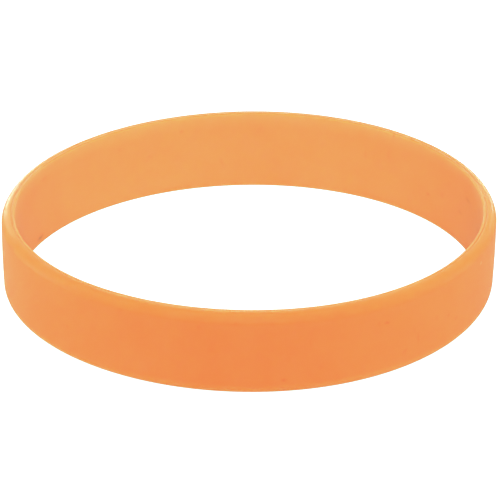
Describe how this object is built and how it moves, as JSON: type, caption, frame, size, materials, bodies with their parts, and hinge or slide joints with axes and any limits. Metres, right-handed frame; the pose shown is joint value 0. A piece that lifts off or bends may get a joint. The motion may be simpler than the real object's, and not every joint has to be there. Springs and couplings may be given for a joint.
{
  "type": "silicone wristband",
  "caption": "Plain orange silicone wristband: an endless moulded loop with a flat inside and a rounded outside, lying on its side.",
  "frame": {"origin": "centre of the loop, on the surface that its lower rim rests on", "axes": "+Z along the axis of the loop, straight up as the band lies; X and Y are alike, because the loop is round"},
  "size_m": [0.0688, 0.0688, 0.0116],
  "materials": {
    "silicone": "matte, slightly translucent"
  },
  "bodies": {
    "root": {"band": "silicone"}
  },
  "joints": []
}
